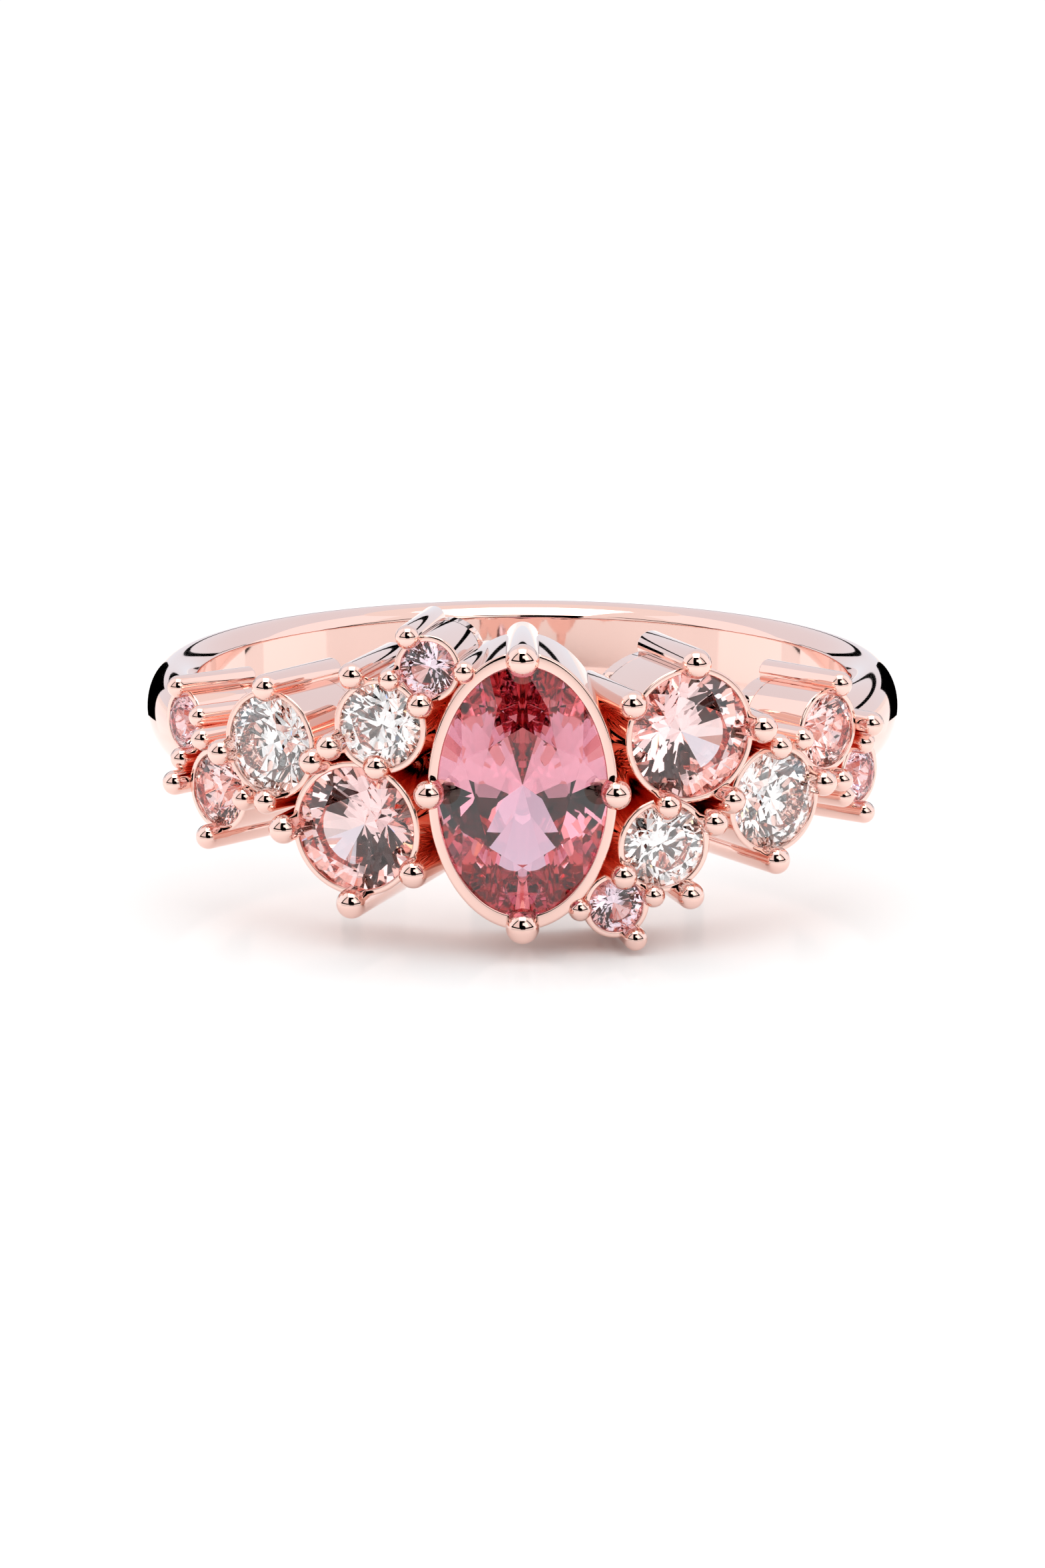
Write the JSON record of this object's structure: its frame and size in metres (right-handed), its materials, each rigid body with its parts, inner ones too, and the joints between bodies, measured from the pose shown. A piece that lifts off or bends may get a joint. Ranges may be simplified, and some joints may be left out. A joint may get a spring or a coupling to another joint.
{
  "type": "cocktail ring",
  "caption": "Rose gold cocktail ring: an oval pink centre stone in an asymmetric cluster of round peach, lilac and white stones, each in its own collet with ball-tipped wire prongs.",
  "frame": {"origin": "centre of the finger hole at the middle of the band", "axes": "+Z along the axis of the finger hole, -Y out through the centre stone, +X across the cluster"},
  "size_m": [0.02, 0.0221, 0.0078],
  "materials": {
    "rose_gold": "mirror-polished rose gold",
    "pink_stone": "faceted, polished",
    "peach_stone": "faceted, polished",
    "white_stone": "faceted, polished",
    "lilac_stone": "faceted, polished"
  },
  "bodies": {
    "root": {"shank": "rose_gold", "gallery_plate": "rose_gold", "collet_centre": "rose_gold", "collet_large_peach_left": "rose_gold", "collet_large_peach_right": "rose_gold", "collet_inner_white_left": "rose_gold", "collet_inner_white_right": "rose_gold", "collet_outer_white_left": "rose_gold", "collet_outer_white_right": "rose_gold", "collet_small_peach_left": "rose_gold", "collet_small_peach_right": "rose_gold", "collet_inner_lilac_left": "rose_gold", "collet_inner_lilac_right": "rose_gold", "collet_outer_lilac_left": "rose_gold", "collet_outer_lilac_right": "rose_gold", "prongs_centre": "rose_gold", "prongs_large_peach_left": "rose_gold", "prongs_large_peach_right": "rose_gold", "prongs_inner_white_left": "rose_gold", "prongs_inner_white_right": "rose_gold", "prongs_outer_white_left": "rose_gold", "prongs_outer_white_right": "rose_gold", "prongs_small_peach_left": "rose_gold", "prongs_small_peach_right": "rose_gold", "prongs_inner_lilac_left": "rose_gold", "prongs_inner_lilac_right": "rose_gold", "prongs_outer_lilac_left": "rose_gold", "prongs_outer_lilac_right": "rose_gold", "stone_centre": "pink_stone", "stone_large_peach_left": "peach_stone", "stone_large_peach_right": "peach_stone", "stone_inner_white_left": "white_stone", "stone_inner_white_right": "white_stone", "stone_outer_white_left": "white_stone", "stone_outer_white_right": "white_stone", "stone_small_peach_left": "peach_stone", "stone_small_peach_right": "peach_stone", "stone_inner_lilac_left": "lilac_stone", "stone_inner_lilac_right": "lilac_stone", "stone_outer_lilac_left": "lilac_stone", "stone_outer_lilac_right": "lilac_stone"}
  },
  "joints": []
}
